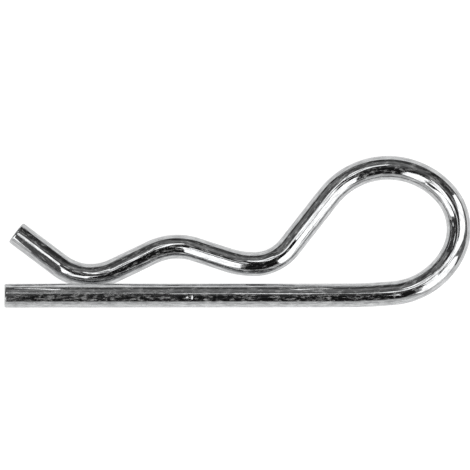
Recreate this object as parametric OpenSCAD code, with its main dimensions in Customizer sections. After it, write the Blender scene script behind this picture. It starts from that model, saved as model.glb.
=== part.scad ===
// Hitch clip bent from one length of round spring wire: a straight leg that passes through the cross
// hole of a pin, a finger eye, and a waved arm that snaps over the pin's side. The eye and the arm lie
// flat. The leg leaves the eye's foot at a slight lean, so it passes clear over the arm's near dip.
// The wire is a chain of straight runs and bends, each tangent to the last.

/* [Wire] */
// Diameter of the wire
wire_d = 4; // [3:0.1:5]
// Radius of the broken edge round each cut end
end_break = 0.3; // [0.1:0.05:1]

/* [Leg] */
// Overall length, from the leg's free end to the outside of the eye
overall_len = 77.5; // [65:0.5:120]
// Room between the leg and the near dip, for the wall of a bored pin
pass_gap = 0.9; // [0.6:0.1:3]

/* [Eye] */
// Bend radius of the gentle lead from the leg into the eye
lead_r = 100; // [60:5:150]
// Turn of the lead, in degrees
lead_turn = 5; // [2:0.5:8]
// Bend radius of the eye's foot
foot_r = 12.2; // [10:0.1:16]
// Direction of the wire where the foot ends and the side begins, in degrees from the leg
foot_dir = 64.5; // [50:0.5:80]
// Bend radius of the eye's side
side_r = 8.75; // [7:0.05:12]
// Direction of the wire where the side ends and the top begins
side_dir = 129.5; // [110:0.5:150]
// Bend radius of the eye's top
top_r = 12.6; // [9:0.1:16]

/* [Arm] */
// Slope of the straight flank from the eye down to the far dip
flank_slope = 52; // [45:0.5:65]
// Height of the far dip over the leg, centre to centre in plan
far_dip_rise = 5.2; // [4.5:0.1:6]
// Bend radius of the far dip on the flank's side
far_dip_in_r = 7.4; // [6:0.1:10]
// Bend radius of the far dip on the crest's side
far_dip_out_r = 14.5; // [8:0.5:20]
// Slope of the run from the far dip up to the crest
far_slope = 18; // [14:0.5:24]
// Height of the crest over the leg, centre to centre in plan
crest_rise = 8.1; // [7.5:0.1:12]
// Bend radius of the crest, which seats on the pin
crest_r = 9.8; // [7:0.1:14]
// Slope of the run from the crest down to the near dip
near_slope = 25.5; // [20:0.5:32]
// Height of the near dip over the leg, centre to centre in plan
near_dip_rise = 3.25; // [2:0.05:3.8]
// Bend radius of the near dip
near_dip_r = 8.7; // [6:0.1:12]
// Slope of the lead-in tip
tip_slope = 37; // [25:0.5:50]
// Length of the straight tip, to its cut end
tip_len = 9.1; // [4:0.1:14]

/* [Hidden] */
$fn = 96;

wire_r = wire_d / 2;
// Bending draws the wire a hair thinner, and each run laps a little way into the bends beside it.
draw_down = 0.01;
lap = 0.1;

// Plan sizes are taken from the joint between the foot and the side, where the lean begins.
lead_run = lead_r * sin(lead_turn);
foot_run = foot_r * (sin(foot_dir) - sin(lead_turn));
joint_rise = lead_r * (1 - cos(lead_turn)) + foot_r * (cos(lead_turn) - cos(foot_dir));
eye_out = side_r * (1 - sin(foot_dir));
top_back = side_r * (sin(foot_dir) - sin(side_dir)) + top_r * sin(side_dir);
top_over_joint = side_r * (cos(foot_dir) - cos(side_dir)) + top_r * (1 + cos(side_dir));
eye_rise = joint_rise + top_over_joint;

// A run between two bends has the length that takes the rest of the height, and its share of the plan.
function run_len(rise, bend_radii, slope) = (rise - bend_radii * (1 - cos(slope))) / sin(slope);
function run_back(len, bend_radii, slope) = len * cos(slope) + bend_radii * sin(slope);

flank_radii = top_r + far_dip_in_r;
far_radii = far_dip_out_r + crest_r;
near_radii = crest_r + near_dip_r;
flank_len = run_len(eye_rise - far_dip_rise, flank_radii, flank_slope);
far_len = run_len(crest_rise - far_dip_rise, far_radii, far_slope);
near_len = run_len(crest_rise - near_dip_rise, near_radii, near_slope);
near_dip_back = top_back + run_back(flank_len, flank_radii, flank_slope)
    + run_back(far_len, far_radii, far_slope) + run_back(near_len, near_radii, near_slope);

// The leg's side turns about the wire's own direction at the joint, far enough to clear the near dip.
drop = sqrt(pow(wire_d + pass_gap, 2) - pow(near_dip_rise, 2));
lean = atan(drop / (near_dip_back * sin(foot_dir) - joint_rise * cos(foot_dir)));
leg_turn = atan2(sin(foot_dir), cos(lean) * cos(foot_dir));
climb = asin(sin(leg_turn) * sin(lean));
end_tilt = (wire_r - end_break) * sin(climb);
leg_run = overall_len - wire_r - eye_out - foot_run - lead_run - end_tilt;
leg_len = leg_run / cos(climb);

// The origin is the centre of the clip's outline, on the surface that it lies on.
joint_x = overall_len / 2 - wire_r - eye_out;
joint_y = (joint_rise - top_over_joint) / 2;

// A straight run of wire along X. What follows starts at its end. A run of no length joins two bends.
module run(len) {
    translate([-lap, 0, 0]) rotate([0, 90, 0]) cylinder(r = wire_r, h = len + 2 * lap);
    translate([len, 0, 0]) children();
}

// A bend of wire that starts along X and turns left, or right where the turn is negative.
module bend(radius, turn) {
    side = sign(turn);
    translate([0, side * radius, 0])
        rotate([0, 0, side > 0 ? -90 : 90 + turn])
            rotate_extrude(angle = abs(turn)) translate([radius, 0]) circle(r = wire_r - draw_down);
    translate([radius * sin(abs(turn)), side * radius * (1 - cos(turn)), 0])
        rotate([0, 0, turn]) children();
}

// The last run of the wire along X, up to a square cut whose edge is broken round.
module end_run(len) {
    core_r = wire_r - end_break;
    wall = len + lap - end_break;
    translate([-lap, 0, 0]) rotate([0, 90, 0]) rotate_extrude() {
        square([core_r, wall + end_break]);
        square([wire_r, wall]);
        translate([core_r, wall]) circle(r = end_break);
    }
}

// From the joint round the eye's side and top, down the flank and along the arm to its tip.
module arm_side() {
    run(0)
    bend(side_r, side_dir - foot_dir)
    run(0)
    bend(top_r, 180 + flank_slope - side_dir)
    run(flank_len)
    bend(far_dip_in_r, -flank_slope)
    run(0)
    bend(far_dip_out_r, -far_slope)
    run(far_len)
    bend(crest_r, far_slope + near_slope)
    run(near_len)
    bend(near_dip_r, -near_slope - tip_slope)
    end_run(tip_len);
}

// From the joint back round the eye's foot and along the leg to its free end.
module leg_side() {
    bend(foot_r, lead_turn - leg_turn)
    run(0)
    bend(lead_r, -lead_turn)
    end_run(leg_len);
}

module spring_clip() {
    color("silver")
    translate([joint_x, joint_y, wire_r]) rotate([0, 0, foot_dir]) union() {
        arm_side();
        rotate([lean, 0, 0]) rotate([0, 0, 180]) leg_side();
    }
}

spring_clip();
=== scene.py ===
import bmesh
import bpy
import math
from mathutils import Matrix, Vector, noise


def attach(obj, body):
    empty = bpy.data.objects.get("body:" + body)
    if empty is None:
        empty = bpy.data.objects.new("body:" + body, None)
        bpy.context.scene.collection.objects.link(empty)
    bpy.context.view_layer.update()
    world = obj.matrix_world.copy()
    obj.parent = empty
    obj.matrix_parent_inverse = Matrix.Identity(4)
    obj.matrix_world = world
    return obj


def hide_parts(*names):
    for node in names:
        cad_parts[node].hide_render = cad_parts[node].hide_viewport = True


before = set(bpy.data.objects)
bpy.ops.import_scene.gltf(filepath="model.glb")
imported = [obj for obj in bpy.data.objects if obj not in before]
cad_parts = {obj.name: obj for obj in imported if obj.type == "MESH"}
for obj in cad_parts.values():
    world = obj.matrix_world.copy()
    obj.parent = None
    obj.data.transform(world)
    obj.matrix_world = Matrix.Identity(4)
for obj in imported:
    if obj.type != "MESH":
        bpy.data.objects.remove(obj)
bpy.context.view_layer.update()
mm = 0.001
print("frame loaded")


def linearColour(hexColour):
    channels = [int(hexColour[i:i + 2], 16) / 255 for i in (1, 3, 5)]
    return [c / 12.92 if c <= 0.04045 else ((c + 0.055) / 1.055) ** 2.4 for c in channels] + [1.0]


def addNode(material, kind, settings=None, links=None):
    node = material.node_tree.nodes.new(kind)
    for name, value in (settings or {}).items():
        if isinstance(name, int) or name in node.inputs:
            node.inputs[name].default_value = value
        else:
            setattr(node, name, value)
    for name, source in (links or {}).items():
        material.node_tree.links.new(source, node.inputs[name])
    return node


def newMaterial(name):
    material = bpy.data.materials.new(name)
    material.use_nodes = True
    material.node_tree.nodes.clear()
    return material


def finishMesh(bm, name, material):
    mesh = bpy.data.meshes.new(name)
    bm.to_mesh(mesh)
    bm.free()
    piece = bpy.data.objects.new(name, mesh)
    bpy.context.scene.collection.objects.link(piece)
    mesh.materials.append(material)
    for face in mesh.polygons:
        face.use_smooth = True
    return piece


# the camera looks straight down on the clip
view = {
    "lens": 500.0,  # a long lens, so that the raised leg end isn't pushed outwards
    "frameWidth": 78.13,  # millimetres seen across, at the height of the wire's axis
    "centre": (-0.43, -0.556, 2.0),  # millimetres
}


def addCamera():
    camera = bpy.data.objects.new("camera", bpy.data.cameras.new("camera"))
    bpy.context.scene.collection.objects.link(camera)
    camera.data.lens = view["lens"]
    height = view["frameWidth"] * view["lens"] / camera.data.sensor_width
    camera.location = Vector(view["centre"]) * mm + Vector((0, 0, height * mm))
    camera.data.clip_end = 10
    bpy.context.scene.camera = camera


addCamera()
print("camera set")


# a white table under a grey tent, with softboxes, cards and flags all round it
studio = {
    "tableRadius": 2.9,  # metres
    "tentRadius": 2.7,
    "tableGlow": 0.93,  # what the table shows the camera and the wire by itself
    "tableWhite": "#8c8c8c",  # the share that takes the lamps and the clip's shadow
    "ribSteps": 4,  # faces between two ribs of a panel, or two points of a strip
    "panelSteps": 16,  # faces from a panel's start to its end
    "edgeFade": 0.16,  # share of a panel over which its lower edge dims
    "edgeLight": 0.2,  # what is left of its light at that edge
}
tent = {
    # share of the tent's height, then the light that the cloth gives there
    "glow": ((0.0, 0.2), (0.17, 0.09), (0.34, 0.105), (0.5, 0.175), (0.66, 0.2), (0.78, 0.24),
             (0.87, 0.33), (0.93, 0.24), (0.965, 0.06), (1.0, 0.04)),
    "foldScale": 1.1,  # folds in the cloth, per metre
    "foldNoise": (0.35, 0.65),  # the noise at the darkest fold and the lightest
    "foldDark": 0.25,  # share of the light that they give
    "foldLight": 1.75,
}
# distance in metres, strength, then ribs: azimuth from +X, and the angles from straight up where the
# panel starts and ends; boxes give the wire its broad whites, strips its thin lines, cards its greys
# and flags its darks
panels = {
    "rightBox": (1.5, 2.5, ((-27, 13, 20), (-21, 12.5, 34), (-16, 12, 41), (-10, 11.8, 54), (1, 12, 65),
                            (12, 19.5, 72), (22, 31, 76), (34, 46, 76))),
    "frontRightBox": (0.6, 2.5, ((-59.5, 27, 56), (-57, 22, 72), (-50, 20, 77), (-45, 20, 79),
                                 (-38, 21, 79), (-33, 21, 78), (-28, 22, 73), (-24.5, 32, 63))),
    "frontLeftBox": (2.3, 2.5, ((-118, 17, 50), (-115, 12, 59), (-108, 4, 58), (-103, 3, 55),
                                (-98.5, 7, 50))),
    "leftBox": (2.3, 2.5, ((-164.5, 26, 60), (-162, 20, 72), (-156, 11, 74), (-150, 4, 74),
                           (-142, 5, 72), (-133, 8, 66), (-127, 9, 60), (-119, 12, 58))),
    "nearRunBox": (2.3, 0.5, ((-67, 50, 66), (-63, 52, 70), (-60, 54, 72))),
    "farLegStrip": (2.3, 1.2, ((63.5, 17.5, 22.5), (66, 17.5, 23), (69, 18, 24))),
    "leadStrip": (2.3, 0.65, ((75.5, 17, 27), (78, 17, 27), (82, 17, 27))),
    "archStrip": (1.5, 2.4, ((85, 26, 33), (88, 24, 33), (94, 22, 31.5), (99, 19, 29), (103, 15, 25),
                             (108, 10, 21), (113, 10, 18), (115, 11, 18))),
    "barStrip": (1.5, 2.1, ((114, 26, 32), (116.2, 22, 30), (117.2, 18.5, 27), (118.2, 12, 21),
                            (119, 16, 26), (121, 16, 26), (123, 9, 20), (128, 5, 17), (133, 5, 17),
                            (146, 5, 18))),
    "backStrip": (1.5, 2.2, ((95, 26, 31), (100, 27.5, 33), (106, 28, 34), (112, 27, 33),
                             (117, 26, 32))),
    "backCard": (2.4, 0.27, ((126, 36, 74), (138, 36, 74), (150, 36, 74))),
    "lowCard": (2.35, 0.85, ((-168, 62, 92), (-150, 66, 92), (-130, 64, 92), (-32, 64, 92))),
    "midCard": (2.4, 0.45, ((-168, 54, 70), (-150, 62, 70), (-130, 58, 70), (-120, 54, 70),
                            (-97, 56, 70), (-32, 56, 70))),
    "frontFlag": (2.45, 0.015, ((-99, -6, 60), (-28, -6, 60))),
    "leftFlag": (2.45, 0.06, ((150, 12, 85), (194, 12, 85))),
    "rightFlag": (2.45, 0.2, ((-26, 14, 92), (34, 50, 92))),
}
# strips and flags close over the clip, each for one stretch of the wire: strength, then height, half
# width and points in plan, all in millimetres
nearStrips = {
    "legStrip": (2.1, 50, 2.2, ((5, 4.6), (14, 4.8), (21, 5.1))),
    "runStrip": (1.8, 30, 1.2, ((-8, -2.6), (2, -2.4))),
    "flankStrip": (2.0, 10, 1.1, ((16.9, 6.6), (10.2, -1.7))),
    "tipStrip": (2.2, 10.5, 1.1, ((-29.2, -4.8), (-36.1, 0.45))),
    "footStrip": (2.0, 50, 1.0, ((28.8, 4), (30.2, 0.6), (33, -2.2))),
    "eyeStrip": (2.5, 50, 2.0, ((34.5, -2.6), (41, -4.2), (48, -3.2))),
    "sideStrip": (2.4, 50, 1.6, ((29.5, 1), (33.8, 5.8), (36, 9.6), (38.3, 14))),
    "topFlag": (0.15, 50, 6, ((26.5, 27), (34, 26.5), (41, 24))),
    "eyeFlag": (0.05, 50, 2.2, ((2, -36), (11.5, -22), (19.5, -10.5))),
    "heelStrip": (2.3, 30, 1.6, ((34.4, -7.6), (40.8, -15.4))),
    "footFlag": (0.02, 17, 2.3, ((31.2, -12.9), (36.1, -24))),
    "footDim": (0.35, 16.9, 0.45, ((32.5, -12.3), (37.4, -23.4))),
    "footGlow": (0.75, 16.9, 0.5, ((33.4, -11.9), (38.3, -23))),
    "sideFlag": (0.05, 15, 1.3, ((31.6, -2.4), (30.8, 2.2))),
    "tipFlag": (0.15, 30, 6.3, ((-36.9, -3.9), (-49, -26), (-57, -42.7))),
    "dipFlag": (0.12, 50, 1.6, ((-24.3, -1.2), (-24.6, 6.8))),
}


def glowMaterial(name, strength):
    material = newMaterial(name)
    fade = addNode(material, "ShaderNodeAttribute", {"attribute_name": "fade"})
    level = addNode(material, "ShaderNodeMath", {"operation": "MULTIPLY", 1: strength},
                    {0: fade.outputs["Fac"]})
    glow = addNode(material, "ShaderNodeEmission", links={"Strength": level.outputs[0]})
    addNode(material, "ShaderNodeOutputMaterial", links={"Surface": glow.outputs[0]})
    return material


def tentMaterial():
    material = newMaterial("tentCloth")
    place = addNode(material, "ShaderNodeTexCoord")
    split = addNode(material, "ShaderNodeSeparateXYZ", links={0: place.outputs["Object"]})
    height = addNode(material, "ShaderNodeMath", {"operation": "DIVIDE", 1: studio["tentRadius"]},
                     {0: split.outputs["Z"]})
    byHeight = addNode(material, "ShaderNodeValToRGB", links={0: height.outputs[0]})
    ramp = byHeight.color_ramp.elements
    while len(ramp) < len(tent["glow"]):
        ramp.new(0.5)
    for stop, (position, level) in zip(ramp, tent["glow"]):
        stop.position = position
        stop.color = (level, level, level, 1)
    folds = addNode(material, "ShaderNodeTexNoise", {"Scale": tent["foldScale"], "Detail": 1.0},
                    {"Vector": place.outputs["Object"]})
    shade = addNode(material, "ShaderNodeMapRange",
                    {"From Min": tent["foldNoise"][0], "From Max": tent["foldNoise"][1],
                     "To Min": tent["foldDark"], "To Max": tent["foldLight"]},
                    {"Value": folds.outputs["Fac"]})
    level = addNode(material, "ShaderNodeMath", {"operation": "MULTIPLY"},
                    {0: byHeight.outputs["Color"], 1: shade.outputs[0]})
    glow = addNode(material, "ShaderNodeEmission", links={"Strength": level.outputs[0]})
    addNode(material, "ShaderNodeOutputMaterial", links={"Surface": glow.outputs[0]})
    return material


def tableMaterial():
    material = newMaterial("whiteTable")
    rays = addNode(material, "ShaderNodeLightPath")
    seen = addNode(material, "ShaderNodeMath", {"operation": "MAXIMUM"},
                   {0: rays.outputs["Is Camera Ray"], 1: rays.outputs["Is Glossy Ray"]})
    seenOrThrough = addNode(material, "ShaderNodeMath", {"operation": "MAXIMUM"},
                            {0: seen.outputs[0], 1: rays.outputs["Is Transmission Ray"]})
    strength = addNode(material, "ShaderNodeMath", {"operation": "MULTIPLY", 1: studio["tableGlow"]},
                       {0: seenOrThrough.outputs[0]})
    glow = addNode(material, "ShaderNodeEmission", links={"Strength": strength.outputs[0]})
    lit = addNode(material, "ShaderNodeBsdfDiffuse", {"Color": linearColour(studio["tableWhite"])})
    both = addNode(material, "ShaderNodeAddShader", links={0: glow.outputs[0], 1: lit.outputs[0]})
    addNode(material, "ShaderNodeOutputMaterial", links={"Surface": both.outputs[0]})
    return material


def between(points, share):  # the values at a share of the way along a row of points
    place = share * (len(points) - 1)
    low = min(int(place), len(points) - 2)
    part = place - low
    return [a + (b - a) * part for a, b in zip(points[low], points[low + 1])]


def finishPanel(bm, name, material):
    panel = finishMesh(bm, name, material)
    panel.visible_camera = False


def addPanel(name, distance, strength, ribs):
    bm = bmesh.new()
    bmesh.ops.create_grid(bm, x_segments=(len(ribs) - 1) * studio["ribSteps"],
                          y_segments=studio["panelSteps"], size=0.5)
    fade = bm.verts.layers.float.new("fade")
    for vert in bm.verts:
        azimuth, start, end = between(ribs, vert.co.x + 0.5)
        vert[fade] = min(1, (0.5 - vert.co.y) / studio["edgeFade"] + studio["edgeLight"])
        tilt = math.radians(start + (end - start) * (vert.co.y + 0.5))
        turn = math.radians(azimuth)
        vert.co = Vector((math.sin(tilt) * math.cos(turn), math.sin(tilt) * math.sin(turn),
                          math.cos(tilt))) * distance
    finishPanel(bm, name, glowMaterial(name + "Glow", strength))


def addNearStrip(name, strength, height, halfWidth, points):
    bm = bmesh.new()
    bmesh.ops.create_grid(bm, x_segments=(len(points) - 1) * studio["ribSteps"], y_segments=1, size=0.5)
    fade = bm.verts.layers.float.new("fade")
    along = Vector(points[-1]) - Vector(points[0])
    across = Vector((-along.y, along.x)).normalized() * halfWidth
    for vert in bm.verts:
        x, y = Vector(between(points, vert.co.x + 0.5)) + across * vert.co.y * 2
        vert[fade] = 1
        vert.co = Vector((x, y, height)) * mm
    finishPanel(bm, name, glowMaterial(name + "Glow", strength))


def addTent():
    bm = bmesh.new()
    bmesh.ops.create_uvsphere(bm, u_segments=48, v_segments=24, radius=studio["tentRadius"])
    geometry = bm.verts[:] + bm.edges[:] + bm.faces[:]
    bmesh.ops.bisect_plane(bm, geom=geometry, plane_no=(0, 0, 1), clear_inner=True)
    finishPanel(bm, "tent", tentMaterial())


def addTable():
    bm = bmesh.new()
    bmesh.ops.create_circle(bm, cap_ends=True, segments=96, radius=studio["tableRadius"])
    table = finishMesh(bm, "table", tableMaterial())


def addWorld():
    world = bpy.data.worlds.new("room")
    bpy.context.scene.world = world
    world.use_nodes = True
    world.node_tree.nodes["Background"].inputs["Color"].default_value = (1, 1, 1, 1)


addTable()
addTent()
for name, settings in panels.items():
    addPanel(name, *settings)
for name, settings in nearStrips.items():
    addNearStrip(name, *settings)
addWorld()
bpy.context.scene.view_settings.view_transform = "Standard"
print("studio lit")


# the bends, the same sizes as the solid's, in the order that the wire takes them
clip = {  # millimetres and degrees
    "wireDiameter": 4.0,
    "cutEdge": 0.3,  # radius round each cut end
    "overallLength": 77.5,
    "passGap": 0.9,
    "leadRadius": 100.0,
    "leadTurn": 5.0,
    "footRadius": 12.2,
    "footDirection": 64.5,
    "sideRadius": 8.75,
    "sideDirection": 129.5,
    "topRadius": 12.6,
    "flankSlope": 52.0,
    "farDipRise": 5.2,
    "farDipInRadius": 7.4,
    "farDipOutRadius": 14.5,
    "farSlope": 18.0,
    "crestRise": 8.1,
    "crestRadius": 9.8,
    "nearSlope": 25.5,
    "nearDipRise": 3.25,
    "nearDipRadius": 8.7,
    "tipSlope": 37.0,
    "tipLength": 9.1,
}


def sin(degrees):
    return math.sin(math.radians(degrees))


def cos(degrees):
    return math.cos(math.radians(degrees))


def run(length):
    return (length, 0.0)


def bend(radius, turn):
    return (radius * math.radians(abs(turn)), math.radians(turn))


def runLength(rise, radii, slope):
    return (rise - radii * (1 - cos(slope))) / sin(slope)


def runBack(length, radii, slope):
    return length * cos(slope) + radii * sin(slope)


def layOutBends(c):
    wireRadius = c["wireDiameter"] / 2
    foot, side = c["footDirection"], c["sideDirection"]
    leadRun = c["leadRadius"] * sin(c["leadTurn"])
    footRun = c["footRadius"] * (sin(foot) - sin(c["leadTurn"]))
    jointRise = c["leadRadius"] * (1 - cos(c["leadTurn"]))
    jointRise += c["footRadius"] * (cos(c["leadTurn"]) - cos(foot))
    eyeOut = c["sideRadius"] * (1 - sin(foot))
    topBack = c["sideRadius"] * (sin(foot) - sin(side)) + c["topRadius"] * sin(side)
    topOverJoint = c["sideRadius"] * (cos(foot) - cos(side)) + c["topRadius"] * (1 + cos(side))
    flankRadii = c["topRadius"] + c["farDipInRadius"]
    farRadii = c["farDipOutRadius"] + c["crestRadius"]
    nearRadii = c["crestRadius"] + c["nearDipRadius"]
    flankLength = runLength(jointRise + topOverJoint - c["farDipRise"], flankRadii, c["flankSlope"])
    farLength = runLength(c["crestRise"] - c["farDipRise"], farRadii, c["farSlope"])
    nearLength = runLength(c["crestRise"] - c["nearDipRise"], nearRadii, c["nearSlope"])
    nearDipBack = topBack + runBack(flankLength, flankRadii, c["flankSlope"])
    nearDipBack += runBack(farLength, farRadii, c["farSlope"])
    nearDipBack += runBack(nearLength, nearRadii, c["nearSlope"])
    # the leg turns about the wire at the joint, so that it clears the near dip
    drop = math.sqrt((c["wireDiameter"] + c["passGap"]) ** 2 - c["nearDipRise"] ** 2)
    lean = math.atan(drop / (nearDipBack * sin(foot) - jointRise * cos(foot)))
    legTurn = math.degrees(math.atan2(sin(foot), math.cos(lean) * cos(foot)))
    climb = math.asin(sin(legTurn) * math.sin(lean))
    endTilt = (wireRadius - c["cutEdge"]) * math.sin(climb)
    legRun = c["overallLength"] - wireRadius - eyeOut - footRun - leadRun - endTilt
    jointX = c["overallLength"] / 2 - wireRadius - eyeOut
    joint = Vector((jointX, (jointRise - topOverJoint) / 2, wireRadius))
    legSide = [bend(c["footRadius"], c["leadTurn"] - legTurn), bend(c["leadRadius"], -c["leadTurn"]),
               run(legRun / math.cos(climb))]
    armSide = [bend(c["sideRadius"], side - foot), bend(c["topRadius"], 180 + c["flankSlope"] - side),
               run(flankLength), bend(c["farDipInRadius"], -c["flankSlope"]),
               bend(c["farDipOutRadius"], -c["farSlope"]), run(farLength),
               bend(c["crestRadius"], c["farSlope"] + c["nearSlope"]), run(nearLength),
               bend(c["nearDipRadius"], -c["nearSlope"] - c["tipSlope"]), run(c["tipLength"])]
    start = Matrix.Translation(joint) @ Matrix.Rotation(math.radians(foot), 4, "Z")
    return start, lean, legSide, armSide


def placeAlong(sections, distance):
    place = Matrix.Identity(4)
    for length, turn in sections:
        step = min(distance, length)
        part = turn * step / length
        if turn:
            radius = length / turn
            place @= Matrix.Translation((radius * math.sin(part), radius * (1 - math.cos(part)), 0))
            place @= Matrix.Rotation(part, 4, "Z")
        else:
            place @= Matrix.Translation((step, 0, 0))
        distance -= step
        if distance <= 0:
            break
    return place


# the wire is cut straight, marked, then bent
wire = {  # millimetres
    "facetsRound": 56,
    "ringPitch": 0.115,
    "endCrown": 0.05,  # how far a sheared end face bulges
    "edgeSteps": 5,  # facets round each broken edge
    "capRings": 5,
    "hair": 0.001,  # less than any distance that counts
}
marks = {"height": 0.012, "length": 5.0}  # slow unevenness of drawn wire, in millimetres
gouge = {  # a nick in the leg, in millimetres on the straight wire
    "along": 30.8,
    "across": -0.42,
    "tail": 1.1,
    "head": 0.45,
    "halfWidth": 0.6,
    "depth": 0.055,
}


def cutWire(length):
    radius = clip["wireDiameter"] / 2
    bm = bmesh.new()
    bmesh.ops.create_cone(bm, cap_ends=True, segments=wire["facetsRound"], radius1=radius,
                          radius2=radius, depth=length)
    bmesh.ops.rotate(bm, verts=bm.verts, matrix=Matrix.Rotation(math.pi / 2, 3, "Y"))
    bmesh.ops.translate(bm, verts=bm.verts, vec=(length / 2, 0, 0))
    rims = [edge for edge in bm.edges if edge.calc_length() < length / 2]
    bmesh.ops.bevel(bm, geom=rims, affect="EDGES", offset=clip["cutEdge"], segments=wire["edgeSteps"],
                    profile=0.5, material=-1)
    for face in [f for f in bm.faces if len(f.verts) > 4]:  # the two cut ends
        ringStep = (radius - clip["cutEdge"]) / (wire["capRings"] + 1)
        for _ in range(wire["capRings"]):
            bmesh.ops.inset_region(bm, faces=[face], thickness=ringStep, use_even_offset=True)
        bmesh.ops.poke(bm, faces=[face])
    longEdges = [edge for edge in bm.edges if edge.calc_length() > length / 2]
    rings = int(length / wire["ringPitch"])
    bmesh.ops.subdivide_edges(bm, edges=longEdges, cuts=rings, use_grid_fill=True)
    return bm


def crownEnds(bm, length):
    flat = clip["wireDiameter"] / 2 - clip["cutEdge"]
    for vert in bm.verts:
        fromAxis = math.hypot(vert.co.y, vert.co.z)
        if fromAxis <= flat + wire["hair"]:
            bulge = wire["endCrown"] * (1 - (fromAxis / flat) ** 2)
            if vert.co.x < wire["hair"]:
                vert.co.x -= bulge
            elif vert.co.x > length - wire["hair"]:
                vert.co.x += bulge


def gougeDepth(along, across):
    # a nick with a long shallow tail and a short steep head
    reach = gouge["tail"] if along < 0 else gouge["head"]
    inside = max(0, 1 - (along / reach) ** 2 - (across / gouge["halfWidth"]) ** 2)
    return gouge["depth"] * inside * inside


def markWire(bm):
    for vert in bm.verts:
        along, across, up = vert.co
        lift = marks["height"] * noise.noise(Vector((along, across * 2, up * 2)) / marks["length"])
        if up > 0:
            lift -= gougeDepth(along - gouge["along"], across - gouge["across"])
        share = 1 + lift / (clip["wireDiameter"] / 2)
        vert.co.y *= share
        vert.co.z *= share


def bendWire(bm, plan):
    start, lean, legSide, armSide = plan
    halfTurn = Matrix.Rotation(math.pi, 4, "Z")
    leanOver = Matrix.Rotation(lean, 4, "X")
    legLength = sum(length for length, turn in legSide)
    places = {}
    for vert in bm.verts:
        along = vert.co.x
        key = round(along, 3)
        if key not in places:
            if along >= legLength:
                places[key] = start @ placeAlong(armSide, along - legLength)
            else:
                places[key] = start @ leanOver @ halfTurn @ placeAlong(legSide, legLength - along)
                places[key] = places[key] @ halfTurn @ leanOver.inverted()
        vert.co = places[key] @ Vector((0, vert.co.y, vert.co.z))
        vert.co *= mm


# the plate and its haze
finish = {
    "zinc": "#c2c3c4",
    "haze": "#f2f2f2",
    "mirror": 0.045,  # roughness of the clear plate
    "rubbed": 0.1,  # the same towards the leg's free end
    "rubbedEnd": (27.0, 33.0),  # millimetres from that end over which the rubbed stretch ends
    "stain": 0.6,  # the darkest that a streak makes the zinc
    "noise": (0.35, 0.65),  # what the noise seldom leaves
    "lineHeight": 0.0015,  # millimetres
    "rippleHeight": 0.0015,
    "hazeRough": 0.8,
    "hazeMost": 0.4,  # share of the haze where it is thickest
    "hazeNoise": (0.51, 0.81),  # the noise where the haze starts, and where it is thickest
    "hazePatch": 0.03,  # how far a hazier or a clearer stretch moves that noise
    "hazeRubbed": 0.02,  # how far the rubbed stretch moves it
}
streaks = {  # across and along the wire in millimetres, then detail
    "line": (0.2, 6.0, 1.0),  # left by the die
    "ripple": (0.5, 1.2, 1.0),  # in the plating
    "speck": (0.3, 1.0, 2.0),  # of haze
    "stain": (0.3, 1.5, 2.0),
    "patch": (4.0, 4.0, 1.0),  # hazier and clearer stretches
}


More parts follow.
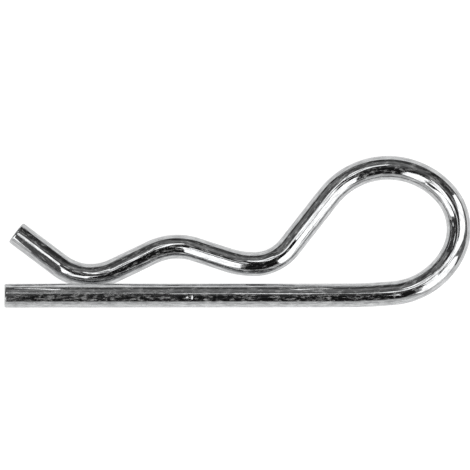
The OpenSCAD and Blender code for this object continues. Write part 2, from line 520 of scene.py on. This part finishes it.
def brightZincPlate():
    # bright zinc plate over drawn spring wire: a clear mirror, lightly streaked along the wire by the
    # die, under a thin white haze that comes in specks and is thicker on the leg's free end
    material = newMaterial("brightZincPlate")
    place = addNode(material, "ShaderNodeAttribute", {"attribute_name": "wirePlace"})
    split = addNode(material, "ShaderNodeSeparateXYZ", links={0: place.outputs["Vector"]})
    pattern = {}
    for name, (across, along, detail) in streaks.items():
        spread = addNode(material, "ShaderNodeMapping", {"Scale": (1 / along, 1 / across, 1 / across)},
                         {"Vector": place.outputs["Vector"]})
        grain = addNode(material, "ShaderNodeTexNoise",
                        {"Scale": 1.0, "Detail": detail, "Roughness": 0.6},
                        {"Vector": spread.outputs[0]})
        pattern[name] = grain.outputs["Fac"]

    lineBump = addNode(material, "ShaderNodeBump",
                       {"Strength": 1.0, "Distance": finish["lineHeight"] * mm},
                       {"Height": pattern["line"]})
    bump = addNode(material, "ShaderNodeBump",
                   {"Strength": 1.0, "Distance": finish["rippleHeight"] * mm},
                   {"Height": pattern["ripple"], "Normal": lineBump.outputs[0]})
    low, high = finish["noise"]
    stained = addNode(material, "ShaderNodeMapRange",
                      {"From Min": low, "From Max": high, "To Min": finish["stain"], "To Max": 1.0},
                      {"Value": pattern["stain"]})
    zinc = addNode(material, "ShaderNodeVectorMath",
                   {"operation": "SCALE", 0: linearColour(finish["zinc"])[:3]},
                   {"Scale": stained.outputs[0]})
    near, far = finish["rubbedEnd"]
    rough = addNode(material, "ShaderNodeMapRange",
                    {"From Min": near, "From Max": far, "To Min": finish["rubbed"],
                     "To Max": finish["mirror"]}, {"Value": split.outputs["X"]})
    clear = addNode(material, "ShaderNodeBsdfPrincipled", {"Metallic": 1.0},
                    {"Base Color": zinc.outputs[0], "Roughness": rough.outputs[0],
                     "Normal": bump.outputs[0]})

    patchy = addNode(material, "ShaderNodeMapRange",
                     {"From Min": low, "From Max": high, "To Min": -finish["hazePatch"],
                      "To Max": finish["hazePatch"]}, {"Value": pattern["patch"]})
    rubbed = addNode(material, "ShaderNodeMapRange",
                     {"From Min": near, "From Max": far, "To Min": finish["hazeRubbed"],
                      "To Max": 0.0}, {"Value": split.outputs["X"]})
    moved = addNode(material, "ShaderNodeMath", {"operation": "ADD"},
                    {0: patchy.outputs[0], 1: rubbed.outputs[0]})
    specks = addNode(material, "ShaderNodeMath", {"operation": "ADD"},
                     {0: pattern["speck"], 1: moved.outputs[0]})
    hazy = addNode(material, "ShaderNodeMapRange",
                   {"From Min": finish["hazeNoise"][0], "From Max": finish["hazeNoise"][1],
                    "To Min": 0.0, "To Max": finish["hazeMost"]}, {"Value": specks.outputs[0]})
    haze = addNode(material, "ShaderNodeBsdfPrincipled",
                   {"Base Color": linearColour(finish["haze"]), "Roughness": finish["hazeRough"]})
    both = addNode(material, "ShaderNodeMixShader",
                   links={0: hazy.outputs[0], 1: clear.outputs[0], 2: haze.outputs[0]})
    addNode(material, "ShaderNodeOutputMaterial", links={"Surface": both.outputs[0]})
    return material


def makeWire():
    plan = layOutBends(clip)
    length = sum(part[0] for part in plan[2] + plan[3])
    bm = cutWire(length)
    crownEnds(bm, length)
    straight = bm.verts.layers.float_vector.new("wirePlace")  # millimetres on the straight wire
    for vert in bm.verts:
        vert[straight] = vert.co
    markWire(bm)
    bendWire(bm, plan)
    bmesh.ops.recalc_face_normals(bm, faces=bm.faces)
    print("wire bent from", round(length, 1), "mm of wire")
    return finishMesh(bm, "springWire", brightZincPlate())


springWire = makeWire()
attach(springWire, "root")
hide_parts("spring_clip")
print("wire in place")
